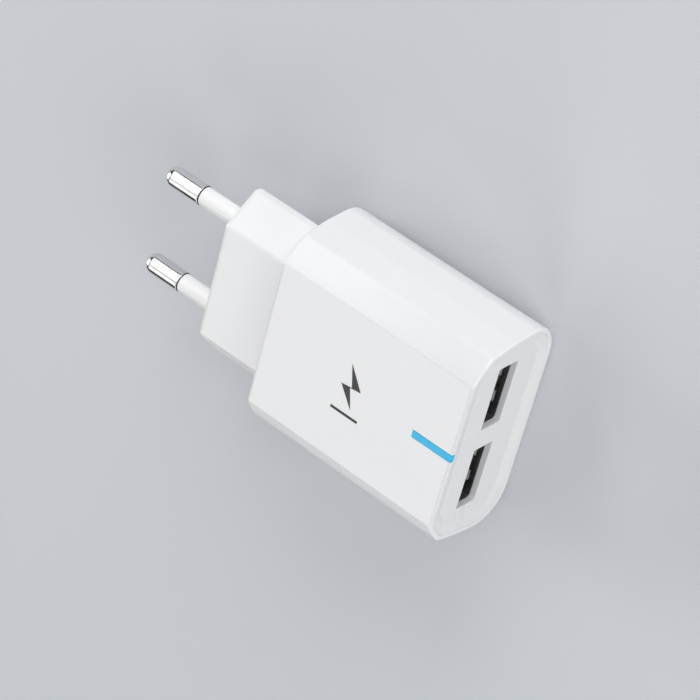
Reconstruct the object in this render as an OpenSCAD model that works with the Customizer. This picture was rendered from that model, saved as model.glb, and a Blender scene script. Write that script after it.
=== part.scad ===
// Plug-in mains charger with two USB outlets.
// X runs across the two mains pins, +Y points to the pin tips and +Z is the
// face with the light bar. The flat back lies on Z = 0, and the origin is
// below the middle of the overall length.

/* [Case] */
// Length of the case from the outlet rim to the step
case_l = 42.5; // [40:0.5:46]
// Width of the case at its widest
case_w = 41.6; // [41:0.1:43]
// Thickness of the case
case_t = 22.2; // [21.8:0.1:23.5]
// Thickness of the case wall
wall = 2.0; // [1.8:0.1:2.1]
// Thickness of the rim round the outlet plate
rim_wall = 1.0; // [0.9:0.05:1.1]
// Depth of the outlet plate below the rim
recess = 0.8; // [0.6:0.1:1]

/* [Plug section] */
// Length of the plug section from the step to the contact face
plug_l = 16.2; // [15:0.1:17]
// Width of the plug section
plug_w = 35.3; // [34.6:0.1:36]
// Height of the plug section
plug_h = 13.7; // [13:0.1:14.4]
// Height of the pin axes above the flat back
pin_z = 11.5; // [11.3:0.1:11.7]

/* [Pins] */
// Distance between the pin axes
pin_pitch = 18.6; // [18:0.1:19.2]
// Length of a pin beyond the contact face
pin_l = 19; // [18.5:0.5:19.5]
// Radius of the bare metal end
pin_r = 2.0; // [1.97:0.01:2.03]
// Length of the insulating sleeve beyond the contact face
sleeve_l = 10.4; // [10:0.1:11]
// Radius of the insulating sleeve
sleeve_r = 1.84; // [1.82:0.01:1.84]

/* [USB outlets] */
// Distance between the outlet centres
port_pitch = 16.9; // [16.8:0.1:17.2]
// Width of an opening in the outlet plate
port_w = 12.6; // [12.5:0.05:12.7]
// Height of an opening in the outlet plate
port_h = 5.2; // [5.15:0.05:5.3]
// Length of an outlet's metal shell
shell_l = 14; // [13.5:0.1:14.2]

/* [Light bar] */
// Length of the light bar along the front face
bar_l = 8.6; // [7:0.1:9]
// Width of the light bar
bar_w = 1.5; // [1.2:0.1:1.8]

/* [Hidden] */
$fn = 48;

// Stations along Y
total_l = case_l + plug_l + pin_l;
y_rim = -total_l / 2;
y_step = y_rim + case_l;
y_face = y_step + plug_l;
y_tip = y_face + pin_l;
end_wall = 3;
y_cavity_end = y_face - end_wall;

// Case outline
front_flat_half = 14.6;
shoulder_half = 19.2;
shoulder_drop = 4.0;
back_corner_r = 7;
corner_steps = 7;
plug_flat_half = 11.6;

// Outlet plate
plate_gap = 0.05;
plate_t = 1.6;
border_w = 2.2;
border_rise = 0.7;
y_plate = y_rim + recess;
y_plate_back = y_plate + plate_t;
port_z = case_t / 2;
port_lip = 1.25;
hook_w = 5;
hook_l = 4;
hook_t = 1.1;
hook_catch = 0.5;
hook_x = 9;

// USB outlet insides
shell_wall = 0.3;
shell_in_w = 12.5;
shell_in_h = 5.12;
shell_corner_r = 0.6;
y_shell = y_plate + port_lip;
y_shell_back = y_shell + shell_l;
tongue_w = 11.1;
tongue_t = 1.84;
tongue_gap = 0.06;
y_tongue = y_shell + 1.9;
y_tongue_root = y_shell + 10.4;
groove_depth = 1.0;
contact_x = [-3.5, -1.0, 1.0, 3.5];
contact_w = 1.0;
contact_t = 0.25;
y_hinge = y_tongue_root - 0.4;
tab_x = 2.65;
tab_w = 2.0;
tab_gap = 0.3;

// Main board
board_t = 1.6;
board_gap = 0.05;
board_top = port_z - shell_in_h / 2 - shell_wall - board_gap;
board_bottom = board_top - board_t;
board_half = 17.4;
y_board = y_plate_back + 0.5;
y_board_end = y_step - wall - 0.5;
rail_w = 2.2;
rail_t = 0.9;
rail_gap = 0.1;
seat = board_top + 0.02;

// Pins
core_r = 1.45;
press_gap = 0.02;
sleeve_root = 1.8;
boss_r = 3.4;
boss_l = 2.2;
y_boss = y_cavity_end - boss_l;
collar_r = 2.3;
collar_t = 0.8;
tail_r = 0.9;
tail_l = 3.6;

shell_white = "white";
steel_grey = "silver";
tongue_black = [0.07, 0.07, 0.08];
gold = "gold";
chip_black = [0.1, 0.1, 0.11];

// ---- outlines ----

function arc(c, r, a0, a1, steps) =
    [for (k = [0:steps]) let (a = a0 + (a1 - a0) * k / steps) c + r * [cos(a), sin(a)]];

function mirrored(p) = [for (k = [len(p) - 1:-1:0]) [-p[k][0], p[k][1]]];

function edge_normal(a, b) = let (d = (b - a) / norm(b - a)) [-d[1], d[0]];

// A clockwise convex outline drawn in by a distance
function inset(p, by) =
    [for (k = [0:len(p) - 1])
        let (n = len(p), before = edge_normal(p[(k + n - 1) % n], p[k]),
             after = edge_normal(p[k], p[(k + 1) % n]))
        p[k] - by * (before + after) / (1 + before * after)];

// Right half of the case's cross-section, from the front flat to the back flat
case_right = concat(
    [[front_flat_half, case_t],
     [(front_flat_half + shoulder_half) / 2 + 0.2, case_t - shoulder_drop / 2 + 0.25],
     [shoulder_half, case_t - shoulder_drop],
     [case_w / 2 - 0.5, (case_t - shoulder_drop + back_corner_r) / 2]],
    arc([case_w / 2 - back_corner_r, back_corner_r], back_corner_r, 0, -90, corner_steps));
case_outline = concat(case_right, mirrored(case_right));

// Cross-section of the plug section: a flattened hexagon about the pin axes
plug_outline = [for (p = [[plug_flat_half, plug_h / 2], [plug_w / 2, 0], [plug_flat_half, -plug_h / 2],
                          [-plug_flat_half, -plug_h / 2], [-plug_w / 2, 0], [-plug_flat_half, plug_h / 2]])
    p + [0, pin_z]];

// Extrudes a cross-section drawn in X and Z from one Y to another
module along_y(y0, y1) {
    translate([0, y1, 0]) rotate([90, 0, 0]) linear_extrude(y1 - y0) children();
}

// Extrudes a side profile drawn in Y and Z across a width centred on x
module across_x(x, w) {
    translate([x - w / 2, 0, 0]) rotate([90, 0, 90]) linear_extrude(w) children();
}

module box(x, y, z) {
    translate([x[0], y[0], z[0]]) cube([x[1] - x[0], y[1] - y[0], z[1] - z[0]]);
}

module rod(x, z, r, y0, y1) {
    translate([x, y1, z]) rotate([90, 0, 0]) cylinder(r = r, h = y1 - y0);
}

module rounded_rect(w, h, r) {
    square([w - 2 * r, h], center = true);
    square([w, h - 2 * r], center = true);
    for (x = [-1, 1], z = [-1, 1]) translate([x * (w / 2 - r), z * (h / 2 - r)]) circle(r);
}

// ---- case and outlet plate ----

module board_rails() {
    for (s = [-1, 1], z = [board_bottom - rail_gap - rail_t, board_top + rail_gap])
        translate([s * (case_w / 2 - wall - rail_w / 2 + 0.2), 0, 0])
            box([-rail_w / 2 - 0.4, rail_w / 2 + 0.4], [y_shell_back - 4, y_step - wall + 0.1], [z, z + rail_t]);
}

module pin_bosses() {
    for (s = [-1, 1]) rod(s * pin_pitch / 2, pin_z, boss_r, y_boss, y_cavity_end + 0.5);
}

module pin_holes() {
    for (s = [-1, 1]) {
        rod(s * pin_pitch / 2, pin_z, core_r + press_gap, y_boss - 1, y_face);
        rod(s * pin_pitch / 2, pin_z, sleeve_r + press_gap, y_face - sleeve_root, y_face + 1);
    }
}

// Pockets in the front and back walls that the plate's hooks click into
module hook_pockets() {
    y = y_plate_back + hook_l - 1.4;
    for (s = [-1, 1]) {
        box([s * hook_x - hook_w / 2 - 0.3, s * hook_x + hook_w / 2 + 0.3], [y, y + 1.6],
            [case_t - wall - 0.3, case_t - wall + hook_catch + 0.1]);
        box([s * hook_x - hook_w / 2 - 0.3, s * hook_x + hook_w / 2 + 0.3], [y, y + 1.6],
            [wall - hook_catch - 0.1, wall + 0.3]);
    }
}

module light_slot() {
    gap = 0.03;
    box([-bar_w / 2 - gap, bar_w / 2 + gap], [y_rim - 1, y_rim + bar_l + gap],
        [case_t - wall - 1, case_t + 1]);
}

module case() {
    color(shell_white)
    difference() {
        union() {
            difference() {
                union() {
                    along_y(y_rim, y_step) polygon(case_outline);
                    along_y(y_step - 0.5, y_face) polygon(plug_outline);
                }
                along_y(y_rim - 1, y_plate_back) polygon(inset(case_outline, rim_wall));
                along_y(y_rim, y_step - wall) polygon(inset(case_outline, wall));
                along_y(y_step - wall - 0.5, y_cavity_end) polygon(inset(plug_outline, wall));
            }
            intersection() {
                board_rails();
                along_y(y_rim, y_step) polygon(inset(case_outline, wall / 2));
            }
            pin_bosses();
        }
        pin_holes();
        hook_pockets();
        light_slot();
    }
}

// A snap hook on the plate's back edge, z_wall is the inner wall face it slides along
module hook(x, z_wall, s) {
    translate([0, 0, z_wall]) mirror([0, 0, s > 0 ? 0 : 1]) {
        box([x - hook_w / 2, x + hook_w / 2], [y_plate_back - 0.2, y_plate_back + hook_l], [-hook_t - 0.1, -0.1]);
        across_x(x, hook_w) polygon([
            [y_plate_back + hook_l - 1.2, -0.2], [y_plate_back + hook_l - 1.2, hook_catch - 0.1],
            [y_plate_back + hook_l - 0.8, hook_catch - 0.1], [y_plate_back + hook_l, -0.2]]);
    }
}

// The plate is dished: its border slopes up from the flat floor almost to the rim
module outlet_plate() {
    y_border = y_plate - border_rise;
    color(shell_white) {
        difference() {
            along_y(y_border, y_plate_back) polygon(inset(case_outline, rim_wall + plate_gap));
            hull() {
                along_y(y_border - 0.1, y_border) polygon(inset(case_outline, rim_wall + plate_gap + 0.15));
                along_y(y_plate - 0.01, y_plate) polygon(inset(case_outline, rim_wall + plate_gap + border_w));
            }
            for (s = [-1, 1]) translate([s * port_pitch / 2, 0, port_z]) {
                along_y(y_plate - 1, y_plate_back + 1) rounded_rect(port_w, port_h, 0.4);
                along_y(y_shell - 0.02, y_plate_back + 1)
                    rounded_rect(shell_in_w + 2 * shell_wall + 0.1, shell_in_h + 2 * shell_wall + 0.1, shell_corner_r + 0.35);
            }
        }
        for (s = [-1, 1]) {
            hook(s * hook_x, case_t - wall, 1);
            hook(s * hook_x, wall, -1);
        }
    }
}

// One clear moulding: the bar in the face and the leg that stands over the LED
module light_pipe() {
    leg_y = [y_shell + 2.6, y_shell + 4.4];
    color([0.45, 0.8, 1]) {
        box([-bar_w / 2, bar_w / 2], [y_rim, y_rim + bar_l], [case_t - rim_wall + 0.02, case_t]);
        box([-bar_w / 2, bar_w / 2], [y_plate_back + 0.05, y_rim + bar_l], [case_t - wall, case_t - rim_wall + 0.1]);
        box([-bar_w / 2, bar_w / 2], leg_y, [seat + 1.3, case_t - wall + 0.1]);
    }
}

// A generic printed sign: a lightning bolt over a short bar
module printed_mark() {
    ink = 0.04;
    color("dimgray")
    translate([0, y_rim + case_l * 0.53, case_t]) {
        linear_extrude(ink) polygon([[5, 1], [0.8, -2.1], [0.5, 0.2], [-3.4, -1], [0.4, 2.1], [0.7, -0.2]]);
        translate([-4.9, 0, ink / 2]) cube([0.5, 6, ink], center = true);
    }
}

// ---- mains pins ----

module pin(x) {
    color(steel_grey)
    translate([x, 0, pin_z]) {
        rod(0, 0, core_r, y_boss - collar_t, y_face + sleeve_l + 0.1);
        rod(0, 0, pin_r, y_face + sleeve_l, y_tip - pin_r);
        translate([0, y_tip - pin_r, 0]) sphere(pin_r);
        rod(0, 0, collar_r, y_boss - collar_t - 0.02, y_boss - 0.02);
        rod(0, 0, tail_r, y_boss - collar_t - tail_l, y_boss - collar_t + 0.1);
    }
}

module pin_left() { pin(-pin_pitch / 2); }
module pin_right() { pin(pin_pitch / 2); }

module pin_sleeve(x) {
    color(shell_white)
    translate([x, 0, pin_z]) difference() {
        rod(0, 0, sleeve_r, y_face - sleeve_root + 0.02, y_face + sleeve_l - 0.02);
        rod(0, 0, core_r + press_gap, y_face - sleeve_root - 1, y_face + sleeve_l + 1);
    }
}

module pin_sleeve_left() { pin_sleeve(-pin_pitch / 2); }
module pin_sleeve_right() { pin_sleeve(pin_pitch / 2); }

// A bent strip that grips the pin's tail and runs back to stand on the board
module pin_clip(x) {
    strip = 0.4;
    y_ring = y_boss - collar_t - tail_l;
    y_foot = y_board_end - 0.8;
    z_strip = pin_z - tail_r - strip - 0.2;
    color("goldenrod")
    translate([x, 0, 0]) {
        difference() {
            union() {
                rod(0, pin_z, tail_r + strip, y_ring, y_ring + 2.4);
                box([-1.2, 1.2], [y_ring, y_ring + strip], [z_strip, pin_z]);
            }
            rod(0, pin_z, tail_r + press_gap, y_ring - 1, y_ring + 4);
        }
        box([-1.2, 1.2], [y_foot, y_ring + strip], [z_strip, z_strip + strip]);
        box([-1.2, 1.2], [y_foot, y_foot + strip], [seat, z_strip + strip]);
    }
}

module pin_clip_left() { pin_clip(-pin_pitch / 2); }
module pin_clip_right() { pin_clip(pin_pitch / 2); }

// ---- USB outlets ----

// A strip of constant thickness along a path in Y and Z
function strip_outline(path, t) =
    concat(path, [for (k = [len(path) - 1:-1:0]) path[k] + [0, t]]);

// Grip tab cut from a shell wall, bent inwards and free at its back end
module grip_tab() {
    crest = 0.32;
    path = [[y_shell + 0.5, -shell_wall], [y_shell + 2.2, -shell_wall], [y_shell + 4.6, crest - shell_wall],
            [y_shell + 5.4, crest - shell_wall], [y_shell + 7, -shell_wall]];
    across_x(0, tab_w) polygon(strip_outline(path, shell_wall));
}

module usb_shell(x) {
    color(steel_grey)
    translate([x, 0, port_z]) {
        difference() {
            along_y(y_shell, y_shell_back)
                rounded_rect(shell_in_w + 2 * shell_wall, shell_in_h + 2 * shell_wall, shell_corner_r + shell_wall);
            along_y(y_shell - 1, y_shell_back - shell_wall) rounded_rect(shell_in_w, shell_in_h, shell_corner_r);
            for (s = [-1, 1])
                box([s * tab_x - tab_w / 2 - tab_gap, s * tab_x + tab_w / 2 + tab_gap], [y_shell + 0.8, y_shell + 7.4],
                    [-shell_in_h, shell_in_h]);
            box([-5.2, 5.2], [y_tongue_root + 0.8, y_shell_back - 0.8], [-shell_in_h, 0]);
        }
        for (s = [-1, 1], side = [0, 1])
            translate([s * tab_x, 0, 0]) mirror([0, 0, side]) translate([0, 0, -shell_in_h / 2]) grip_tab();
    }
}

module usb_shell_left() { usb_shell(-port_pitch / 2); }
module usb_shell_right() { usb_shell(port_pitch / 2); }

// The insulating block with the tongue that carries the contacts on its underside
module usb_tongue(x) {
    gap = 0.04;
    tail_room = 0.05;
    color(tongue_black)
    translate([x, 0, port_z])
    difference() {
        union() {
            along_y(y_tongue_root, y_shell_back - shell_wall - gap)
                rounded_rect(shell_in_w - 2 * gap, shell_in_h - 2 * gap, shell_corner_r);
            box([-tongue_w / 2, tongue_w / 2], [y_tongue, y_tongue_root + 0.1], [tongue_gap, tongue_gap + tongue_t]);
        }
        for (c = contact_x) {
            box([c - contact_w / 2 - 0.1, c + contact_w / 2 + 0.1], [y_tongue + 0.4, y_tongue_root + 0.3],
                [-shell_in_h, tongue_gap + groove_depth]);
            box([c - contact_w / 2 - tail_room, c + contact_w / 2 + tail_room], [y_tongue_root, y_shell_back],
                [tongue_gap + 0.4, tongue_gap + 0.4 + contact_t + 2 * tail_room]);
            box([c - contact_w / 2 - tail_room, c + contact_w / 2 + tail_room],
                [y_shell_back - 2.4 - tail_room, y_shell_back - 2.4 + contact_t + tail_room],
                [-shell_in_h, tongue_gap + 0.6]);
        }
    }
}

module usb_tongue_left() { usb_tongue(-port_pitch / 2); }
module usb_tongue_right() { usb_tongue(port_pitch / 2); }

// The bowed free ends of the four contacts, from the hinge line to their tips
module usb_contact_springs(x) {
    root = tongue_gap + 0.45;
    path = [[y_hinge, root], [y_hinge - 2.4, root - 0.15], [y_tongue + 2.9, -0.4], [y_tongue + 2.1, -0.4],
            [y_tongue + 0.8, tongue_gap + 0.15]];
    color(gold)
    translate([x, 0, port_z])
    for (c = contact_x) {
        across_x(c, contact_w) polygon(strip_outline(path, contact_t));
        translate([c - contact_w / 2, y_hinge, root + contact_t / 2]) rotate([0, 90, 0])
            cylinder(r = contact_t / 2, h = contact_w);
    }
}

module usb_contact_springs_left() { usb_contact_springs(-port_pitch / 2); }
module usb_contact_springs_right() { usb_contact_springs(port_pitch / 2); }

// The fixed ends of the same contacts, held in the block and soldered to the board
module usb_contact_tails(x) {
    root = tongue_gap + 0.45;
    y_bend = y_shell_back - 2.4;
    color(gold)
    translate([x, 0, port_z])
    for (c = contact_x) {
        box([c - contact_w / 2, c + contact_w / 2], [y_hinge + contact_t / 2 + 0.05, y_bend + contact_t],
            [root, root + contact_t]);
        box([c - contact_w / 2, c + contact_w / 2], [y_bend, y_bend + contact_t], [board_top - port_z + 0.02, root + 0.1]);
    }
}

module usb_contact_tails_left() { usb_contact_tails(-port_pitch / 2); }
module usb_contact_tails_right() { usb_contact_tails(port_pitch / 2); }

// ---- circuit board and what stands on it ----

module main_board() {
    color("darkgreen")
    box([-board_half, board_half], [y_board, y_board_end], [board_bottom, board_top]);
}

module indicator_led() {
    y = y_shell + 3.5;
    color("deepskyblue") {
        box([-1, 1], [y - 0.65, y + 0.65], [seat, seat + 0.5]);
        translate([0, y, seat + 0.45]) cylinder(r = 0.5, h = 0.45);
    }
}

// Transformer: an E core on its side, a bobbin, the copper winding and outer tape
core_w = 14;
core_l = 13;
core_leg = 2.6;
bobbin_r = 2.9;
transformer_x = -1.4;
transformer_y = y_shell_back + 8;
transformer_z = seat + 6.2;
winding_h = 5.6;

module at_transformer() {
    translate([transformer_x, transformer_y, transformer_z]) children();
}

module transformer_core() {
    color([0.16, 0.16, 0.17])
    at_transformer() {
        for (s = [-1, 1]) translate([s * (core_w - core_leg) / 2, 0, 0]) cube([core_leg, 5, 10.4], center = true);
        for (s = [-1, 1]) translate([0, 0, s * (10.4 - 1.8) / 2]) cube([core_w, 5, 1.8], center = true);
        cylinder(r = 2.2, h = 10.4, center = true);
    }
}

module transformer_bobbin() {
    color("khaki")
    at_transformer() difference() {
        union() {
            cylinder(r = bobbin_r, h = 6.7, center = true);
            for (s = [-1, 1]) translate([0, 0, s * 3.1]) intersection() {
                cylinder(r = 6, h = 0.5, center = true);
                cube([core_w - 2 * core_leg - 0.2, 12.4, 2], center = true);
            }
            for (s = [-1, 1]) translate([0, s * 5.4, -3.1]) cube([8, 1.8, 0.5], center = true);
            for (s = [-1, 1], x = [-3, 0, 3])
                translate([x, s * 5.4, -6.14 + 1.55]) cylinder(r = 0.3, h = 3.1, center = true, $fn = 24);
        }
        cylinder(r = 2.25, h = 12, center = true);
    }
}

module transformer_winding() {
    color("chocolate")
    at_transformer() difference() {
        cylinder(r = 3.9, h = winding_h, center = true);
        cylinder(r = bobbin_r + 0.02, h = winding_h + 1, center = true);
    }
}

module transformer_tape() {
    color("gold")
    at_transformer() difference() {
        cylinder(r = 4.2, h = winding_h, center = true);
        cylinder(r = 3.92, h = winding_h + 1, center = true);
    }
}

// Upright electrolytic can with a rolled groove near its foot
module can(x, y, r, h, tone) {
    color(tone)
    translate([x, y, seat]) difference() {
        cylinder(r = r, h = h);
        translate([0, 0, 1.2]) difference() {
            cylinder(r = r + 1, h = 0.7);
            translate([0, 0, -1]) cylinder(r = r - 0.3, h = 3);
        }
    }
}

module mains_capacitor_left() { can(-11.4, y_board_end - 5.2, 4, 10.2, "darkslategray"); }
module mains_capacitor_right() { can(11.4, y_board_end - 5.2, 4, 10.2, "darkslategray"); }
module output_capacitor_left() { can(-12.6, y_shell_back + 4.4, 3.15, 9, "midnightblue"); }
module output_capacitor_right() { can(11.4, y_shell_back + 5, 4, 10.5, "midnightblue"); }

module safety_capacitor() {
    color("royalblue")
    translate([9.2, y_shell_back + 11.4, seat + 3.7]) {
        rotate([90, 0, 0]) cylinder(r = 3.2, h = 2.6, center = true);
        for (s = [-1, 1]) translate([s * 2, 0, -2.6]) cylinder(r = 0.25, h = 2.2, center = true, $fn = 24);
    }
}

module filter_inductor() {
    color("saddlebrown")
    translate([0, y_board_end - 4.2, seat]) {
        cylinder(r = 3, h = 0.8);
        cylinder(r = 2.5, h = 7);
        translate([0, 0, 6.2]) cylinder(r = 3, h = 0.8);
    }
}

module fusible_resistor() {
    color("darkolivegreen")
    translate([-12.4, y_board_end - 11.35, seat + 1.9]) {
        rotate([0, 90, 0]) cylinder(r = 1.7, h = 5.4, center = true);
        for (s = [-1, 1]) {
            translate([s * 2.95, 0, 0]) rotate([0, 90, 0]) cylinder(r = 0.3, h = 0.9, center = true, $fn = 24);
            translate([s * 3.3, 0, -0.95]) cylinder(r = 0.3, h = 1.9, center = true, $fn = 24);
        }
    }
}

// A moulded package under the board with legs along two sides
module chip(x, y, w, l, h, legs) {
    foot = board_bottom - 0.02;
    pitch = l / (legs + 0.3);
    color(chip_black) box([x - w / 2, x + w / 2], [y - l / 2, y + l / 2], [foot - h - 0.1, foot - 0.1]);
    color(steel_grey)
    for (s = [-1, 1], k = [0:legs - 1])
        translate([x + s * (w / 2 + 0.35), y + (k - (legs - 1) / 2) * pitch, foot - 0.3])
            cube([0.9, pitch * 0.35, 0.5], center = true);
}

module bridge_rectifier() { chip(4, y_board_end - 5.2, 4, 4.6, 1.8, 2); }
module power_controller() { chip(-6, y_board_end - 8, 4, 5, 1.5, 4); }
module output_rectifier() { chip(8, y_shell_back + 3, 5.2, 4, 2.2, 1); }
module optocoupler() { chip(0, y_shell_back + 5, 6.4, 4.4, 2.6, 2); }
module charge_detect_chips() {
    for (s = [-1, 1]) chip(s * port_pitch / 2, y_shell + 5, 1.6, 3, 1.1, 3);
}

module chip_resistors() {
    foot = board_bottom - 0.02;
    color([0.2, 0.2, 0.22])
    for (x = [-14, -11, 11, 14], y = [y_board_end - 3, y_board_end - 7, y_shell_back - 2])
        translate([x, y, foot - 0.3]) cube([1.6, 0.9, 0.6], center = true);
}

case();
outlet_plate();
light_pipe();
printed_mark();
pin_left();
pin_right();
pin_sleeve_left();
pin_sleeve_right();
pin_clip_left();
pin_clip_right();
usb_shell_left();
usb_shell_right();
usb_tongue_left();
usb_tongue_right();
usb_contact_springs_left();
usb_contact_springs_right();
usb_contact_tails_left();
usb_contact_tails_right();
main_board();
indicator_led();
transformer_core();
transformer_bobbin();
transformer_winding();
transformer_tape();
mains_capacitor_left();
mains_capacitor_right();
output_capacitor_left();
output_capacitor_right();
safety_capacitor();
filter_inductor();
fusible_resistor();
bridge_rectifier();
power_controller();
output_rectifier();
optocoupler();
charge_detect_chips();
chip_resistors();
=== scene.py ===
import math

import bmesh
import bpy
from mathutils import Matrix, Vector


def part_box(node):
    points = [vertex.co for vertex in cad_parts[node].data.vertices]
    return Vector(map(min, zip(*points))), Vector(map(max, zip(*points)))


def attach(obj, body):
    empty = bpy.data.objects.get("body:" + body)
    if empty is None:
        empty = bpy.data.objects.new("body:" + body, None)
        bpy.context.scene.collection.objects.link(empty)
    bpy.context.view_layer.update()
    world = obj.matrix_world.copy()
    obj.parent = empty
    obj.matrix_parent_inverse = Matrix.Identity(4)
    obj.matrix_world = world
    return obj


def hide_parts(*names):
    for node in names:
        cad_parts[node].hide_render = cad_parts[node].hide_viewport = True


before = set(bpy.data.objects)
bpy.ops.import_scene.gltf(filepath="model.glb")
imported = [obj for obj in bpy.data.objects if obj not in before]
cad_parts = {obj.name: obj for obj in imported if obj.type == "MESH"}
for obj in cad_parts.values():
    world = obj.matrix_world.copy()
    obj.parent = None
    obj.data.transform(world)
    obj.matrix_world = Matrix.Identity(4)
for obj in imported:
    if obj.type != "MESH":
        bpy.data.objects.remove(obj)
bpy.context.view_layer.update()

# ---------------------------------------------------------------------------
# Camera and studio. A long lens looks down on the front face and the outlet
# end, turned so that the pins point up and to the left. The charger lies on
# its flat back on a plain pale floor under large soft lights.
# ---------------------------------------------------------------------------

camera_place = Vector((0.28871, -0.24519, 0.39867))
camera_aim = Vector((0.0092, -0.0158, 0.0250))
camera_up = Vector((0.811, 0.503, -0.298))


def aimed(place, aim, up):
    """The matrix of something at place whose -Z looks at aim with its +Y towards up."""
    back = (place - aim).normalized()
    right = up.cross(back).normalized()
    true_up = back.cross(right)
    turned = Matrix((right, true_up, back)).transposed().to_4x4()
    return Matrix.Translation(place) @ turned


camera = bpy.data.objects.new("camera", bpy.data.cameras.new("camera"))
camera.data.lens = 160.1
camera.data.sensor_width = 36
camera.data.clip_start = 0.01
camera.matrix_world = aimed(camera_place, camera_aim, camera_up)
bpy.context.scene.collection.objects.link(camera)
bpy.context.scene.camera = camera


def softbox(name, place, width, height, watts, tint=(1, 1, 1)):
    lamp = bpy.data.lights.new(name, "AREA")
    lamp.shape = "RECTANGLE"
    lamp.size = width
    lamp.size_y = height
    lamp.energy = watts
    lamp.color = tint
    holder = bpy.data.objects.new(name, lamp)
    holder.matrix_world = aimed(Vector(place), Vector((0, 0, 0.01)), Vector((0, 1, 0.01)))
    bpy.context.scene.collection.objects.link(holder)


softbox("high_left_softbox", (-0.45, 0.35, 0.62), 0.50, 0.50, 1.15)
softbox("camera_softbox", (0.44, -0.36, 0.62), 0.40, 0.40, 0.95)
softbox("upper_strip", (0.145, 0.39, 0.58), 0.52, 0.20, 0.50)
softbox("lower_strip", (0.508, 0.39, 0.356), 0.48, 0.20, 0.60)
softbox("outlet_softbox", (-0.05, -0.75, 0.30), 0.60, 0.35, 2.7)
softbox("high_outlet_softbox", (0.02, -0.55, 0.52), 0.50, 0.30, 0.45)
softbox("right_front_softbox", (0.70, -0.35, 0.22), 0.40, 0.30, 1.0)
softbox("left_softbox", (-0.70, -0.20, 0.30), 0.50, 0.35, 1.95)
softbox("pin_end_softbox", (-0.10, 0.80, 0.30), 0.60, 0.35, 3.1)
softbox("right_softbox", (0.80, 0.05, 0.30), 0.50, 0.35, 3.1)

world = bpy.data.worlds.new("studio")
world.use_nodes = True
world.node_tree.nodes["Background"].inputs["Color"].default_value = (0.80, 0.83, 0.87, 1)
world.node_tree.nodes["Background"].inputs["Strength"].default_value = 0.02
bpy.context.scene.world = world
bpy.context.scene.view_settings.view_transform = "Standard"

floor_mesh = bmesh.new()
bmesh.ops.create_grid(floor_mesh, x_segments=1, y_segments=1, size=4)
bmesh.ops.translate(floor_mesh, vec=(0, 0, -0.00002), verts=floor_mesh.verts)
floor_data = bpy.data.meshes.new("floor")
floor_mesh.to_mesh(floor_data)
floor_mesh.free()
floor = bpy.data.objects.new("floor", floor_data)
bpy.context.scene.collection.objects.link(floor)
floor_paint = bpy.data.materials.new("pale_floor")
floor_paint.use_nodes = True
floor_paint.node_tree.nodes["Principled BSDF"].inputs["Base Color"].default_value = (0.60, 0.62, 0.65, 1)
floor_paint.node_tree.nodes["Principled BSDF"].inputs["Roughness"].default_value = 0.75
floor_data.materials.append(floor_paint)

# ---------------------------------------------------------------------------
# Case. One injection moulding in glossy white ABS: the body with its two
# sloping shoulders, and the plug section that enters the wall socket. It is
# hollow, with rails for the board, bosses for the pins and a rim at the end.
# ---------------------------------------------------------------------------

MM = 0.001
case_low, case_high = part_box("case")
y_rim = case_low.y
y_face = case_high.y
case_top = case_high.z / MM
case_half = case_high.x / MM
body_length = 42.5 * MM
wall = 2.0
rim_wall = 1.0
end_wall = 3 * MM
boss_length = 2.2 * MM
boss_radius = 3.4 * MM
plate_depth = 0.8 * MM
plate_thickness = 1.6 * MM
y_step = y_rim + body_length
y_plate = y_rim + plate_depth
y_plate_back = y_plate + plate_thickness
y_cavity_end = y_face - end_wall
y_boss = y_cavity_end - boss_length
pin_low, pin_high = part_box("pin_right")
pin_x = (pin_low.x + pin_high.x) / 2
pin_z = (pin_low.z + pin_high.z) / 2
sleeve_low, sleeve_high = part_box("pin_sleeve_right")
sleeve_radius = (sleeve_high.x - sleeve_low.x) / 2
core_radius = 1.45
bar_low, bar_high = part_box("light_pipe")
board_low, board_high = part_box("main_board")


def section_face(bm, corners, y, steps=4):
    """A face across Y. Each corner is X, Z and the radius of its round, in millimetres."""
    verts = [bm.verts.new((x * MM, y, z * MM)) for x, z, _ in corners]
    bm.faces.new(verts)
    count = len(corners)
    for k, (x, z, radius) in enumerate(corners):
        if not radius:
            continue
        before = Vector(corners[k - 1][:2]) - Vector((x, z))
        after = Vector(corners[(k + 1) % count][:2]) - Vector((x, z))
        turn = math.pi - before.angle(after)
        bmesh.ops.bevel(bm, geom=[verts[k]], offset=radius * MM * math.tan(turn / 2),
                        segments=steps if turn < 1.2 else 2 * steps, profile=0.5,
                        affect="VERTICES", material=-1)
    return face_at(bm, y)


def face_at(bm, y):
    """The largest face that lies flat at that Y."""
    flat = [f for f in bm.faces if all(abs(v.co.y - y) < 1e-7 for v in f.verts)]
    return max(flat, key=lambda f: f.calc_area())


def extrude_to(bm, face, y):
    """Extrudes a face along Y until it lies at y, and returns the moved face."""
    made = bmesh.ops.extrude_face_region(bm, geom=[face])["geom"]
    for v in made:
        if isinstance(v, bmesh.types.BMVert):
            v.co.y = y
    return face_at(bm, y)


def drawn_in(corners, by):
    """The same outline moved inwards by a distance, with its rounds made smaller to match."""
    moved = []
    for k, (x, z, radius) in enumerate(corners):
        here = Vector((x, z))
        to_here = (here - Vector(corners[k - 1][:2])).normalized()
        onward = (Vector(corners[(k + 1) % len(corners)][:2]) - here).normalized()
        normals = Vector((-to_here.y, to_here.x)), Vector((-onward.y, onward.x))
        shift = (normals[0] + normals[1]) / (1 + normals[0].dot(normals[1]))
        moved.append((x - by * shift.x, z - by * shift.y, max(radius - by, 0.05) if radius else 0))
    return moved


def both_sides(right):
    """Adds the mirror image of the right half's corners, so that the outline closes."""
    return right + [(-x, z, radius) for x, z, radius in reversed(right)]


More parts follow.
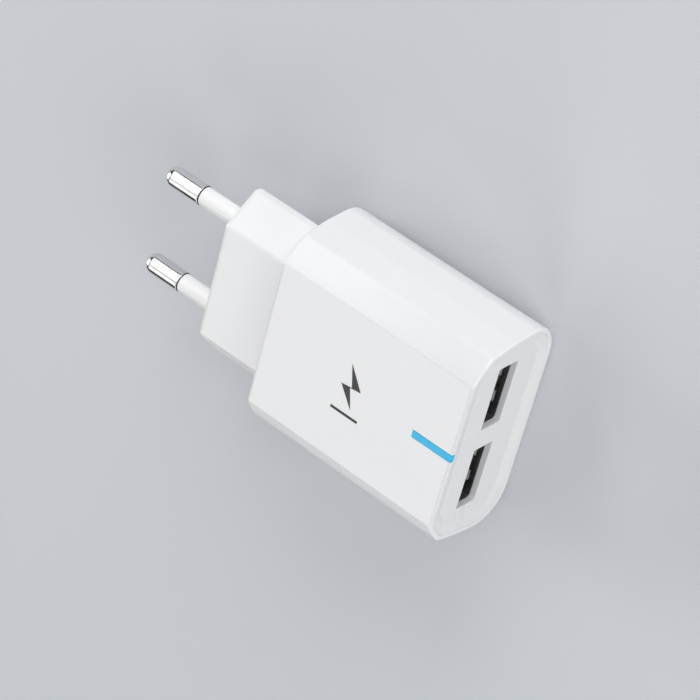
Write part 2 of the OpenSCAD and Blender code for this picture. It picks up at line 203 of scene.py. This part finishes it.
def edges_at(bm, y, sharp=20):
    """The edges that lie at that Y and turn by more than sharp degrees."""
    found = []
    for e in bm.edges:
        if all(abs(v.co.y - y) < 1e-6 for v in e.verts) and len(e.link_faces) == 2:
            if math.degrees(e.calc_face_angle(0)) > sharp:
                found.append(e)
    return found


def round_edges(bm, edges, radius, segments):
    """Bevels edges to a round, and keeps it within the room that the faces leave."""
    bmesh.ops.bevel(bm, geom=edges, offset=radius, segments=segments, profile=0.5,
                    affect="EDGES", material=-1, clamp_overlap=True)


def solid(name, bm):
    """A plain object from a bmesh, with its faces pointing outwards."""
    bmesh.ops.remove_doubles(bm, verts=bm.verts, dist=1e-7)
    bmesh.ops.recalc_face_normals(bm, faces=bm.faces)
    data = bpy.data.meshes.new(name)
    bm.to_mesh(data)
    bm.free()
    made = bpy.data.objects.new(name, data)
    bpy.context.scene.collection.objects.link(made)
    return made


def combine(target, tool, operation="DIFFERENCE"):
    """Applies a Boolean to target's mesh and deletes the tool."""
    step = target.modifiers.new("combine", "BOOLEAN")
    step.operation = operation
    step.solver = "EXACT"
    step.object = tool
    result = target.evaluated_get(bpy.context.evaluated_depsgraph_get())
    data = bpy.data.meshes.new_from_object(result)
    target.modifiers.remove(step)
    target.data = data
    bpy.data.objects.remove(tool)


def prism(name, corners, y0, y1, steps=4):
    """A bar of constant cross-section along Y."""
    bm = bmesh.new()
    extrude_to(bm, section_face(bm, corners, y0, steps), y1)
    return solid(name, bm)


def loft(name, corners, stations, steps=4):
    """A solid through cross-sections. Each station is how far the outline is drawn in, and Y."""
    bm = bmesh.new()
    rings = []
    for k, (by, y) in enumerate(stations):
        face = section_face(bm, drawn_in(corners, by), y, steps)
        rings.append(list(face.edges))
        if 0 < k < len(stations) - 1:
            bmesh.ops.delete(bm, geom=[face], context="FACES_ONLY")
    for low, high in zip(rings, rings[1:]):
        bmesh.ops.bridge_loops(bm, edges=low + high)
    return solid(name, bm)


def rounding(y, radius, inward, steps):
    """Stations that round the edge of a loft's end, from the end face inwards."""
    stations = []
    for k in range(steps + 1):
        turn = math.pi / 2 * k / steps
        stations.append((radius * (1 - math.sin(turn)), y + inward * radius * MM * (1 - math.cos(turn))))
    return stations


def block(name, low, high, round_by=0.0):
    """A block between two corners, with all its edges rounded if asked."""
    bm = bmesh.new()
    size = Vector(high) - Vector(low)
    middle = (Vector(high) + Vector(low)) / 2
    place = Matrix.Translation(middle) @ Matrix.Diagonal((*size, 1))
    bmesh.ops.create_cube(bm, size=1, matrix=place)
    if round_by:
        round_edges(bm, list(bm.edges), round_by, 3)
    return solid(name, bm)


def rod(name, x, z, radius, y0, y1):
    """A cylinder along Y."""
    bm = bmesh.new()
    place = Matrix.Translation((x, (y0 + y1) / 2, z)) @ Matrix.Rotation(math.pi / 2, 4, "X")
    bmesh.ops.create_cone(bm, cap_ends=True, segments=72, radius1=radius, radius2=radius,
                          depth=y1 - y0, matrix=place)
    return solid(name, bm)


def finished(piece, body, slot, material, *nodes, sharp=30):
    """Smooth shading with crisp edges, then the piece's body and CAD nodes. The slot is not used."""
    piece.data.materials.clear()
    piece.data.materials.append(material)
    piece.data.polygons.foreach_set("use_smooth", [True] * len(piece.data.polygons))
    piece.data.set_sharp_from_angle(angle=math.radians(sharp))
    weighted = piece.modifiers.new("weighted normals", "WEIGHTED_NORMAL")
    weighted.keep_sharp = True
    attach(piece, body)
    if nodes:
        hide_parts(*nodes)


def new_material(name):
    """A material with its node tree, link function, shader and object coordinates at hand."""
    made = bpy.data.materials.new(name)
    made.use_nodes = True
    nodes = made.node_tree.nodes
    return made, nodes, made.node_tree.links.new, nodes["Principled BSDF"], nodes.new("ShaderNodeTexCoord")


def noise(nodes, link, place, scale, detail=2.0, stretch=None):
    """A noise texture on object coordinates, in waves per metre, stretched if asked."""
    made = nodes.new("ShaderNodeTexNoise")
    made.inputs["Scale"].default_value = scale
    made.inputs["Detail"].default_value = detail
    if stretch:
        turn = nodes.new("ShaderNodeMapping")
        turn.inputs["Scale"].default_value = stretch
        link(place.outputs["Object"], turn.inputs["Vector"])
        link(turn.outputs["Vector"], made.inputs["Vector"])
    else:
        link(place.outputs["Object"], made.inputs["Vector"])
    return made.outputs["Fac"]


def blend(nodes, link, factor, low, high):
    """A colour that runs from low to high as factor does."""
    made = nodes.new("ShaderNodeMix")
    made.data_type = "RGBA"
    made.inputs["A"].default_value = (*low, 1)
    made.inputs["B"].default_value = (*high, 1)
    link(factor, made.inputs["Factor"])
    return made.outputs["Result"]


def spread(nodes, link, value, low, high, source=(0.3, 0.7)):
    """Maps a value on to a range."""
    made = nodes.new("ShaderNodeMapRange")
    made.inputs["From Min"].default_value = source[0]
    made.inputs["From Max"].default_value = source[1]
    made.inputs["To Min"].default_value = low
    made.inputs["To Max"].default_value = high
    link(value, made.inputs["Value"])
    return made.outputs["Result"]


def bump(nodes, link, height, strength, depth, under=None):
    """A surface relief of the given depth in metres, on top of another where there is one."""
    made = nodes.new("ShaderNodeBump")
    made.inputs["Strength"].default_value = strength
    made.inputs["Distance"].default_value = depth
    link(height, made.inputs["Height"])
    if under:
        link(under, made.inputs["Normal"])
    return made.outputs["Normal"]


def moulded(name, colour, roughness, peel=0.05, grain=0.0, coat=0.0, tone=0.97):
    """Moulded plastic: faint tone clouds, a wavy gloss, and a fine grain where it is satin."""
    made, nodes, link, shader, place = new_material(name)
    clouds = noise(nodes, link, place, 90, 3)
    waves = noise(nodes, link, place, 420, 1)
    fine = noise(nodes, link, place, 6000, 2)
    link(blend(nodes, link, clouds, [c * tone for c in colour], colour), shader.inputs["Base Color"])
    link(spread(nodes, link, clouds, roughness * 0.9, roughness * 1.12), shader.inputs["Roughness"])
    peeled = bump(nodes, link, waves, peel, 0.02 * MM)
    link(bump(nodes, link, fine, grain, 0.01 * MM, peeled), shader.inputs["Normal"])
    shader.inputs["IOR"].default_value = 1.52
    shader.inputs["Coat Weight"].default_value = coat
    shader.inputs["Coat Roughness"].default_value = 0.05
    return made


gloss_white = moulded("gloss_white_plastic", (0.83, 0.835, 0.845), 0.17, peel=0.06, grain=0.03, coat=0.3)

# From the front edge over the shoulder's two slopes and the side to the rounded back.
case_corners = both_sides([
    (14.6, case_top, 0.9), (17.1, 20.45, 13.0), (19.2, 18.2, 1.2), (20.3, 12.6, 14.0),
    (case_half, 7.0, 0), (case_half, 0, 6.98)])
plug_half_width, plug_half_height, plug_flat = 17.65, 6.85, 11.6
plug_outline = both_sides([
    (plug_flat, pin_z / MM + plug_half_height, 1.2), (plug_half_width, pin_z / MM, 1.5),
    (plug_flat, pin_z / MM - plug_half_height, 1.2)])
rim_round, step_round, lip_round = 0.45, 0.8, 0.15

outside = rounding(y_rim, rim_round, 1, 4) + rounding(y_step, step_round, -1, 6)[::-1]
case = loft("case_shell", case_corners, outside, 5)
plug_bm = bmesh.new()
extrude_to(plug_bm, section_face(plug_bm, plug_outline, y_step - 0.5 * MM, 5), y_face)
round_edges(plug_bm, edges_at(plug_bm, y_face, 40), 1.0 * MM, 5)
combine(case, solid("plug", plug_bm), "UNION")
lip = [(rim_wall - by, y) for by, y in rounding(y_rim, lip_round, 1, 3)]
mouth = [(rim_wall - lip_round, y_rim - 1 * MM), *lip, (rim_wall, y_plate_back)]
combine(case, loft("mouth", case_corners, mouth, 5))
combine(case, prism("cavity", drawn_in(case_corners, wall), y_plate_back - 0.5 * MM, y_step - wall * MM))
combine(case, prism("plug_cavity", drawn_in(plug_outline, wall), y_step - 2.5 * MM, y_cavity_end))
rail_start = y_rim + 12.05 * MM
rail_edge, rail_root, rail_thickness = 16.9 * MM, 19.2 * MM, 0.9 * MM
for side in (-1, 1):
    x = side * pin_x
    combine(case, rod("boss", x, pin_z, boss_radius, y_boss, y_cavity_end + 0.5 * MM), "UNION")
    combine(case, rod("core_hole", x, pin_z, (core_radius + 0.02) * MM, y_boss - 0.8 * MM, y_face + 1 * MM))
    combine(case, rod("sleeve_hole", x, pin_z, sleeve_radius + 0.02 * MM,
                      sleeve_low.y - 0.02 * MM, y_face + 1 * MM))
    inner, outer = sorted((side * rail_edge, side * rail_root))
    for rail_z in (board_low.z - 1.0 * MM, board_high.z + 0.1 * MM):
        low = (inner, rail_start, rail_z)
        high = (outer, y_step - 1.9 * MM, rail_z + rail_thickness)
        combine(case, block("rail", low, high), "UNION")
slot_gap = 0.03 * MM
combine(case, block("light_slot", (bar_low.x - slot_gap, y_rim - 1 * MM, (case_top - 3) * MM),
                    (bar_high.x + slot_gap, bar_high.y + slot_gap, (case_top + 1) * MM)))
finished(case, "charger", "case_white", gloss_white, "case")

# ---------------------------------------------------------------------------
# Outlet plate. A dished satin moulding in the same plastic, with a sloping
# border, held inside the rim by four snap hooks. Its two openings have a softened
# edge, and a wider pocket behind each takes the front of a USB shell.
# ---------------------------------------------------------------------------

shell_low, shell_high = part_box("usb_shell_right")
port_x = (shell_low.x + shell_high.x) / 2
port_z = (shell_low.z + shell_high.z) / 2
y_shell = shell_low.y


def slot_corners(x, width, height, radius):
    """A rounded rectangle about an outlet's centre."""
    z = port_z / MM
    return [(x / MM + width / 2, z + height / 2, radius), (x / MM + width / 2, z - height / 2, radius),
            (x / MM - width / 2, z - height / 2, radius), (x / MM - width / 2, z + height / 2, radius)]


def soften(piece, y, radius, segments, sharp=40):
    """Rounds a finished mesh's edges that lie at one Y."""
    bm = bmesh.new()
    bm.from_mesh(piece.data)
    bmesh.ops.remove_doubles(bm, verts=bm.verts, dist=1e-7)
    round_edges(bm, edges_at(bm, y, sharp), radius, segments)
    bm.to_mesh(piece.data)
    bm.free()


y_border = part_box("outlet_plate")[0].y
opening_width, opening_height = 12.6, 5.2
pocket_width, pocket_height = 13.2, 5.82
hook_width, hook_length, hook_thickness = 5 * MM, 4 * MM, 1.1 * MM
border_foot = 3.25
plate = prism("outlet_plate_panel", drawn_in(case_corners, rim_wall + 0.02), y_border, y_plate_back, 5)
combine(plate, loft("dish", case_corners, [(rim_wall, y_border - 0.1 * MM), (border_foot, y_plate)], 5))
soften(plate, y_plate, 0.5 * MM, 4, 12)
for side in (-1, 1):
    combine(plate, prism("opening", slot_corners(side * port_x, opening_width, opening_height, 0.25),
                         y_plate - 1 * MM, y_plate_back + 1 * MM))
soften(plate, y_plate, 0.2 * MM, 3)
for side in (-1, 1):
    combine(plate, prism("pocket", slot_corners(side * port_x, pocket_width, pocket_height, 0.95),
                         y_shell - 0.02 * MM, y_plate_back + 1 * MM))
    hook_x = side * 9 * MM - hook_width / 2
    for hook_z in ((case_top - 3.2) * MM, 2.1 * MM):
        low = (hook_x, y_plate_back - 0.2 * MM, hook_z)
        high = (hook_x + hook_width, y_plate_back + hook_length, hook_z + hook_thickness)
        combine(plate, block("hook", low, high, 0.15 * MM), "UNION")
satin_white = moulded("satin_white_plastic", (0.80, 0.805, 0.815), 0.3, peel=0.05, grain=0.12)
finished(plate, "charger", "plate_white", satin_white, "outlet_plate")

# ---------------------------------------------------------------------------
# Light bar. One clear moulding with a milky face, pressed into a slot in the
# case: it shows on the front and wraps over the rim, and its leg stands over
# the blue lamp on the board.
# ---------------------------------------------------------------------------


def axes(nodes, link, place):
    """The object coordinates' X, Y and Z, each by itself."""
    made = nodes.new("ShaderNodeSeparateXYZ")
    link(place.outputs["Object"], made.inputs["Vector"])
    return made.outputs


def arithmetic(nodes, link, operation, first, second=None):
    """A value worked out from a value and, where there is one, a number or another value."""
    made = nodes.new("ShaderNodeMath")
    made.operation = operation
    link(first, made.inputs[0])
    if isinstance(second, (int, float)):
        made.inputs[1].default_value = second
    elif second:
        link(second, made.inputs[1])
    return made.outputs["Value"]


glow, nodes, link, shader, place = new_material("lit_blue_bar")
across = arithmetic(nodes, link, "ABSOLUTE", axes(nodes, link, place)["X"])
middle = spread(nodes, link, across, 1.0, 0.7, (0.45 * MM, 0.76 * MM))
streaks = spread(nodes, link, noise(nodes, link, place, 700, 2), 0.9, 1.1)
link(arithmetic(nodes, link, "MULTIPLY", middle, streaks), shader.inputs["Emission Strength"])
link(blend(nodes, link, middle, (0.01, 0.18, 0.38), (0.012, 0.275, 0.475)), shader.inputs["Emission Color"])
link(blend(nodes, link, streaks, (0.008, 0.16, 0.26), (0.012, 0.19, 0.30)), shader.inputs["Base Color"])
link(spread(nodes, link, streaks, 0.15, 0.25), shader.inputs["Roughness"])
shader.inputs["IOR"].default_value = 1.49

light_bar = block("light_bar", (bar_low.x, bar_low.y, (case_top - 0.98) * MM), bar_high, 0.12 * MM)
combine(light_bar, block("inner_bar", (bar_low.x, y_plate_back + 0.05 * MM, (case_top - 2) * MM),
                         (bar_high.x, bar_high.y, (case_top - 0.9) * MM)), "UNION")
combine(light_bar, block("leg", (bar_low.x, y_shell + 2.6 * MM, bar_low.z),
                         (bar_high.x, y_shell + 4.4 * MM, (case_top - 1.9) * MM)), "UNION")
finished(light_bar, "charger", "light_blue", glow, "light_pipe")

# ---------------------------------------------------------------------------
# Printed sign. Pad printing in dark grey ink on the front face: a plain bolt
# over a short bar.
# ---------------------------------------------------------------------------

ink, nodes, link, shader, place = new_material("dark_grey_ink")
speckle = noise(nodes, link, place, 5000, 3)
link(blend(nodes, link, speckle, (0.028, 0.028, 0.032), (0.05, 0.05, 0.056)), shader.inputs["Base Color"])
link(spread(nodes, link, speckle, 0.38, 0.52), shader.inputs["Roughness"])
link(bump(nodes, link, speckle, 0.15, 0.01 * MM), shader.inputs["Normal"])


def paint(node, material):
    """Gives a CAD node a material."""
    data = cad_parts[node].data
    data.materials.clear()
    data.materials.append(material)


paint("printed_mark", ink)

# ---------------------------------------------------------------------------
# Mains pins. Each pin is turned brass with bright nickel plating: a bare end
# with a ball tip, a thin core under the sleeve, a collar and a tail for its clip.
# Each sleeve is a satin white tube moulded round the core.
# ---------------------------------------------------------------------------


def turned(name, corners, x, z, steps=5, ball_steps=18, around=72):
    """Spins a half profile about a line along Y. Each corner is the radius, Y and its round."""
    bm = bmesh.new()
    verts = [bm.verts.new((x + r * MM, y * MM, z)) for r, y, _ in corners]
    bm.faces.new(verts)
    for k, (_, _, radius) in enumerate(corners):
        if radius:
            bmesh.ops.bevel(bm, geom=[verts[k]], offset=radius * MM,
                            segments=steps if radius < 1 else ball_steps,
                            profile=0.5, affect="VERTICES", material=-1)
    bmesh.ops.delete(bm, geom=list(bm.faces), context="FACES_ONLY")
    on_axis = [e for e in bm.edges if all(abs(v.co.x - x) < 1e-7 for v in e.verts)]
    bmesh.ops.delete(bm, geom=on_axis, context="EDGES")
    loose = [v for v in bm.verts if not v.link_edges]
    bmesh.ops.delete(bm, geom=loose, context="VERTS")
    bmesh.ops.spin(bm, geom=list(bm.verts) + list(bm.edges), cent=(x, 0, z), axis=(0, 1, 0),
                   angle=2 * math.pi, steps=around, use_merge=True)
    return solid(name, bm)


def laid_over(nodes, link, factor, under, over):
    """A plain colour over another colour, where factor is 1."""
    made = nodes.new("ShaderNodeMix")
    made.data_type = "RGBA"
    made.inputs["B"].default_value = (*over, 1)
    link(under, made.inputs["A"])
    link(factor, made.inputs["Factor"])
    return made.outputs["Result"]


nickel, nodes, link, shader, place = new_material("bright_nickel")
rings = noise(nodes, link, place, 1.0, 2, (300, 16000, 300))
wear = noise(nodes, link, place, 260, 3)
plating = blend(nodes, link, wear, (0.70, 0.705, 0.71), (0.82, 0.825, 0.83))
# Painted shade: from the pin's shoulder inwards the metal is near black, so the core seen in the narrow gap
# between the sleeve's end and the bare pin reads as a dark shaded groove; the collar and tail behind it are
# painted the same.
y_groove = sleeve_high.y + 0.02 * MM
painted_groove_shade = spread(nodes, link, axes(nodes, link, place)["Y"], 1, 0, (y_groove, y_groove + 0.03 * MM))
link(laid_over(nodes, link, painted_groove_shade, plating, (0.03, 0.03, 0.032)), shader.inputs["Base Color"])
link(spread(nodes, link, wear, 0.16, 0.26), shader.inputs["Roughness"])
link(bump(nodes, link, rings, 0.05, 0.004 * MM), shader.inputs["Normal"])
shader.inputs["Metallic"].default_value = 1.0
sleeve_white = moulded("satin_sleeve", (0.92, 0.92, 0.92), 0.22, peel=0.05, grain=0.05, coat=0.3)

pin_radius, collar_radius, tail_radius = 2.0, 2.3, 0.9
bore_radius = core_radius + 0.02
tube_radius = sleeve_radius / MM
y_tip = pin_high.y / MM
y_metal = sleeve_high.y / MM + 0.02
y_sleeve_end = y_metal - 0.15
y_sleeve_root = sleeve_low.y / MM
y_collar = y_boss / MM - 0.02
y_collar_back = y_collar - 0.8
y_tail = y_boss / MM - 4.4
for side, word in ((-1, "left"), (1, "right")):
    pin = turned("mains_pin_" + word, [
        (0, y_tip, 0), (pin_radius, y_tip, pin_radius - 0.02), (pin_radius, y_metal, 0.12),
        (core_radius, y_metal, 0), (core_radius, y_collar, 0), (collar_radius, y_collar, 0.1),
        (collar_radius, y_collar_back, 0.1), (tail_radius, y_collar_back, 0), (tail_radius, y_tail, 0.2),
        (0, y_tail, 0)], side * pin_x, pin_z)
    finished(pin, "charger", "pin_nickel", nickel, "pin_" + word)
    sleeve = turned("insulating_sleeve_" + word, [
        (bore_radius, y_sleeve_root, 0), (tube_radius, y_sleeve_root, 0.1),
        (tube_radius, y_sleeve_end, 0.08), (bore_radius, y_sleeve_end, 0)], side * pin_x, pin_z)
    finished(sleeve, "charger", "sleeve_white", sleeve_white, "pin_sleeve_" + word)

# ---------------------------------------------------------------------------
# USB outlets. In each, a folded and tinned steel shell with sprung grip tabs
# surrounds a black block. Its tongue carries four gold-flashed contacts, whose
# free ends spring and whose tails are soldered to the board.
# ---------------------------------------------------------------------------


def eased(name, node, body, slot, material, radius, segments=2, sharp=40):
    """The CAD node's shape as a piece of its own, with merged faces and eased edges."""
    bm = bmesh.new()
    bm.from_mesh(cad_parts[node].data)
    bmesh.ops.remove_doubles(bm, verts=bm.verts, dist=1e-7)
    bmesh.ops.dissolve_limit(bm, angle_limit=math.radians(0.6), verts=bm.verts, edges=bm.edges)
    edges = [e for e in bm.edges if len(e.link_faces) == 2 and math.degrees(e.calc_face_angle(0)) > sharp]
    round_edges(bm, edges, radius * MM, segments)
    piece = solid(name, bm)
    finished(piece, body, slot, material, node)
    return piece


tinned, nodes, link, shader, place = new_material("tinned_steel")
scuffs = noise(nodes, link, place, 1.0, 3, (2600, 300, 2600))
blotch = noise(nodes, link, place, 500, 3)
link(blend(nodes, link, blotch, (0.50, 0.51, 0.53), (0.64, 0.65, 0.67)), shader.inputs["Base Color"])
link(bump(nodes, link, scuffs, 0.08, 0.01 * MM), shader.inputs["Normal"])
tab_x, tab_half_width, tab_root = 2.65 * MM, 1.0 * MM, 1.1 * MM
coordinates = axes(nodes, link, place)
from_tab = coordinates["X"]
for distance in (0, port_x, tab_x):
    from_tab = arithmetic(nodes, link, "SUBTRACT", from_tab, distance)
    from_tab = arithmetic(nodes, link, "ABSOLUTE", from_tab)
on_tab = spread(nodes, link, from_tab, 1, 0, (tab_half_width, tab_half_width + 0.05 * MM))
behind = spread(nodes, link, coordinates["Y"], 0, 1, (y_shell + tab_root, y_shell + tab_root + 0.1 * MM))
rubbed = arithmetic(nodes, link, "MULTIPLY", on_tab, behind)
link(spread(nodes, link, rubbed, 1.0, 0.1, (0, 1)), shader.inputs["Metallic"])
link(spread(nodes, link, rubbed, 0.26, 0.4, (0, 1)), shader.inputs["Roughness"])
black = moulded("black_nylon", (0.016, 0.016, 0.018), 0.42, peel=0.2, grain=0.3, tone=0.7)
gold, nodes, link, shader, place = new_material("gold_flash")
blotch = noise(nodes, link, place, 1500, 3)
link(blend(nodes, link, blotch, (0.70, 0.47, 0.14), (0.84, 0.60, 0.22)), shader.inputs["Base Color"])
link(spread(nodes, link, blotch, 0.2, 0.34), shader.inputs["Roughness"])
link(bump(nodes, link, blotch, 0.05, 0.01 * MM), shader.inputs["Normal"])
shader.inputs["Metallic"].default_value = 1.0

for word in ("left", "right"):
    eased("steel_shell_" + word, "usb_shell_" + word, "charger", "shell_steel", tinned, 0.05)
    eased("contact_block_" + word, "usb_tongue_" + word, "charger", "tongue_black", black, 0.06)
    eased("contacts_" + word + "_free_ends", "usb_contact_springs_" + word, "contacts_" + word,
          "contact_gold", gold, 0.03)
    eased("contact_tails_" + word, "usb_contact_tails_" + word, "charger", "contact_gold", gold, 0.03)

# ---------------------------------------------------------------------------
# Circuit board and blue lamp. Glass-epoxy laminate under green solder mask,
# with copper tracks that stand out slightly, white marks and soldered pads.
# ---------------------------------------------------------------------------


def cells(nodes, link, place, scale, feature="F1", shape="EUCLIDEAN"):
    """A cell pattern on object coordinates, in cells per metre."""
    made = nodes.new("ShaderNodeTexVoronoi")
    made.feature = feature
    made.distance = shape
    made.inputs["Scale"].default_value = scale
    link(place.outputs["Object"], made.inputs["Vector"])
    return made.outputs["Distance"]


mask, nodes, link, shader, place = new_material("green_solder_mask")
tracks = spread(nodes, link, cells(nodes, link, place, 420, "F1", "MANHATTAN"), 0, 1, (0.42, 0.46))
pads = spread(nodes, link, cells(nodes, link, place, 260), 1, 0, (0.14, 0.16))
weave = noise(nodes, link, place, 5200, 2)
green = blend(nodes, link, tracks, (0.012, 0.085, 0.035), (0.02, 0.16, 0.06))
link(laid_over(nodes, link, pads, green, (0.55, 0.56, 0.57)), shader.inputs["Base Color"])
link(pads, shader.inputs["Metallic"])
link(spread(nodes, link, weave, 0.22, 0.36), shader.inputs["Roughness"])
raised = bump(nodes, link, tracks, 0.4, 0.03 * MM)
link(bump(nodes, link, weave, 0.1, 0.01 * MM, raised), shader.inputs["Normal"])
eased("circuit_board", "main_board", "charger", "board_green", mask, 0.08)

lamp_clear, nodes, link, shader, place = new_material("blue_lamp")
haze = noise(nodes, link, place, 2600, 2)
link(blend(nodes, link, haze, (0.10, 0.35, 0.75), (0.35, 0.62, 0.90)), shader.inputs["Base Color"])
link(blend(nodes, link, haze, (0.02, 0.25, 0.8), (0.05, 0.4, 0.9)), shader.inputs["Emission Color"])
link(spread(nodes, link, haze, 0.1, 0.2), shader.inputs["Roughness"])
shader.inputs["Emission Strength"].default_value = 2.0
eased("blue_lamp", "indicator_led", "charger", "led_clear", lamp_clear, 0.06)

# ---------------------------------------------------------------------------
# Transformer. A ground grey-black ferrite core glued round a phenolic bobbin,
# wound with enamelled copper wire and wrapped in yellow polyester tape.
# ---------------------------------------------------------------------------

ferrite, nodes, link, shader, place = new_material("ground_ferrite")
pits = noise(nodes, link, place, 4200, 4)
grind = noise(nodes, link, place, 1.0, 2, (300, 300, 9000))
link(blend(nodes, link, pits, (0.022, 0.022, 0.025), (0.055, 0.055, 0.06)), shader.inputs["Base Color"])
link(spread(nodes, link, grind, 0.38, 0.6), shader.inputs["Roughness"])
link(bump(nodes, link, pits, 0.35, 0.02 * MM), shader.inputs["Normal"])
eased("ferrite_core", "transformer_core", "charger", "ferrite", ferrite, 0.15)
phenolic = moulded("phenolic", (0.035, 0.034, 0.036), 0.45, peel=0.2, grain=0.3, tone=0.75)
eased("bobbin", "transformer_bobbin", "charger", "bobbin_tan", phenolic, 0.08)


def bands(nodes, link, place, scale, distortion):
    """Wavy level bands, as wound wire and lapped tape show."""
    made = nodes.new("ShaderNodeTexWave")
    made.bands_direction = "Z"
    made.inputs["Scale"].default_value = scale
    made.inputs["Distortion"].default_value = distortion
    link(place.outputs["Object"], made.inputs["Vector"])
    return made.outputs["Fac"]


copper, nodes, link, shader, place = new_material("enamelled_copper")
turns = bands(nodes, link, place, 900, 0.6)
tint = noise(nodes, link, place, 900, 2)
link(blend(nodes, link, tint, (0.42, 0.13, 0.04), (0.62, 0.24, 0.09)), shader.inputs["Base Color"])
link(spread(nodes, link, tint, 0.2, 0.34), shader.inputs["Roughness"])
link(bump(nodes, link, turns, 0.8, 0.08 * MM), shader.inputs["Normal"])
shader.inputs["Metallic"].default_value = 0.85
eased("copper_winding", "transformer_winding", "charger", "copper_wire", copper, 0.1)

tape, nodes, link, shader, place = new_material("polyester_tape")
laps = bands(nodes, link, place, 60, 1.5)
wrinkle = noise(nodes, link, place, 700, 3)
link(blend(nodes, link, wrinkle, (0.62, 0.38, 0.02), (0.78, 0.52, 0.05)), shader.inputs["Base Color"])
link(spread(nodes, link, wrinkle, 0.16, 0.3), shader.inputs["Roughness"])
lapped = bump(nodes, link, laps, 0.3, 0.04 * MM)
link(bump(nodes, link, wrinkle, 0.3, 0.03 * MM, lapped), shader.inputs["Normal"])
eased("transformer_wrap", "transformer_tape", "charger", "tape_yellow", tape, 0.1)

# ---------------------------------------------------------------------------
# Capacitors. Aluminium cans in shrunk plastic sleeves with a pale stripe, two
# for the mains side and two for the outlets, and one dipped blue ceramic disc
# across the transformer.
# ---------------------------------------------------------------------------


def sleeved_can(name, centre_x, colour, stripe):
    """A shrunk sleeve with a pale stripe down one side."""
    made, nodes, link, shader, place = new_material(name)
    from_centre = arithmetic(nodes, link, "SUBTRACT", axes(nodes, link, place)["X"], centre_x)
    band = spread(nodes, link, from_centre, 0, 1, (2.2 * MM, 2.3 * MM))
    ripple = noise(nodes, link, place, 1100, 3)
    shade = blend(nodes, link, ripple, [c * 0.8 for c in colour], colour)
    link(laid_over(nodes, link, band, shade, stripe), shader.inputs["Base Color"])
    link(spread(nodes, link, ripple, 0.18, 0.32), shader.inputs["Roughness"])
    link(bump(nodes, link, ripple, 0.2, 0.03 * MM), shader.inputs["Normal"])
    return made


can_kinds = (("mains", "can_grey", (0.03, 0.05, 0.055)), ("output", "can_blue", (0.01, 0.03, 0.13)))
for word in ("left", "right"):
    for kind, slot, colour in can_kinds:
        node = kind + "_capacitor_" + word
        low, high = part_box(node)
        wrap = sleeved_can(node + "_sleeve", (low.x + high.x) / 2, colour, (0.55, 0.57, 0.6))
        eased(kind + "_can_" + word, node, "charger", slot, wrap, 0.35, 4)
dipped_blue = moulded("dipped_blue", (0.02, 0.09, 0.38), 0.22, peel=0.5, grain=0.1, coat=0.4, tone=0.8)
eased("disc_capacitor", "safety_capacitor", "charger", "disc_blue", dipped_blue, 0.7, 5)

# ---------------------------------------------------------------------------
# Small parts. A varnished choke and a dipped fusible resistor on the board, and
# on its underside moulded epoxy chips with tinned legs and rows of resistors.
# ---------------------------------------------------------------------------

varnish, nodes, link, shader, place = new_material("varnished_winding")
turns = bands(nodes, link, place, 700, 0.8)
tint = noise(nodes, link, place, 800, 3)
link(blend(nodes, link, tint, (0.12, 0.045, 0.02), (0.24, 0.10, 0.045)), shader.inputs["Base Color"])
link(spread(nodes, link, tint, 0.25, 0.4), shader.inputs["Roughness"])
link(bump(nodes, link, turns, 0.8, 0.1 * MM), shader.inputs["Normal"])
eased("choke", "filter_inductor", "charger", "inductor_brown", varnish, 0.2)
dipped_green = moulded("dipped_green", (0.09, 0.17, 0.10), 0.35, peel=0.5, grain=0.3, tone=0.8)
eased("fusible_resistor_body", "fusible_resistor", "charger", "resistor_green", dipped_green, 0.1)

epoxy, nodes, link, shader, place = new_material("epoxy_and_tinned_legs")
leg_line = board_low.z - 0.125 * MM
legs = spread(nodes, link, axes(nodes, link, place)["Z"], 0, 1, (leg_line, leg_line + 0.01 * MM))
speck = noise(nodes, link, place, 5200, 3)
dark = blend(nodes, link, speck, (0.015, 0.015, 0.017), (0.035, 0.035, 0.038))
link(laid_over(nodes, link, legs, dark, (0.5, 0.5, 0.52)), shader.inputs["Base Color"])
link(legs, shader.inputs["Metallic"])
link(spread(nodes, link, speck, 0.4, 0.58), shader.inputs["Roughness"])
link(bump(nodes, link, speck, 0.4, 0.02 * MM), shader.inputs["Normal"])
for node in ("bridge_rectifier", "power_controller", "output_rectifier", "optocoupler",
             "charge_detect_chips", "chip_resistors"):
    eased(node + "_body", node, "charger", "chip_black", epoxy, 0.06)

# ---------------------------------------------------------------------------
# Pin clips. Bent brass strip: each is rolled round a pin's tail and runs back
# through the plug section to a foot that is soldered to the board.
# ---------------------------------------------------------------------------

brass, nodes, link, shader, place = new_material("rolled_brass")
rolled = noise(nodes, link, place, 1.0, 3, (6000, 250, 6000))
tarnish = noise(nodes, link, place, 400, 3)
link(blend(nodes, link, tarnish, (0.50, 0.33, 0.10), (0.68, 0.48, 0.19)), shader.inputs["Base Color"])
link(spread(nodes, link, rolled, 0.22, 0.38), shader.inputs["Roughness"])
link(bump(nodes, link, rolled, 0.15, 0.01 * MM), shader.inputs["Normal"])
shader.inputs["Metallic"].default_value = 1.0
for word in ("left", "right"):
    eased("brass_clip_" + word, "pin_clip_" + word, "charger", "clip_brass", brass, 0.06)
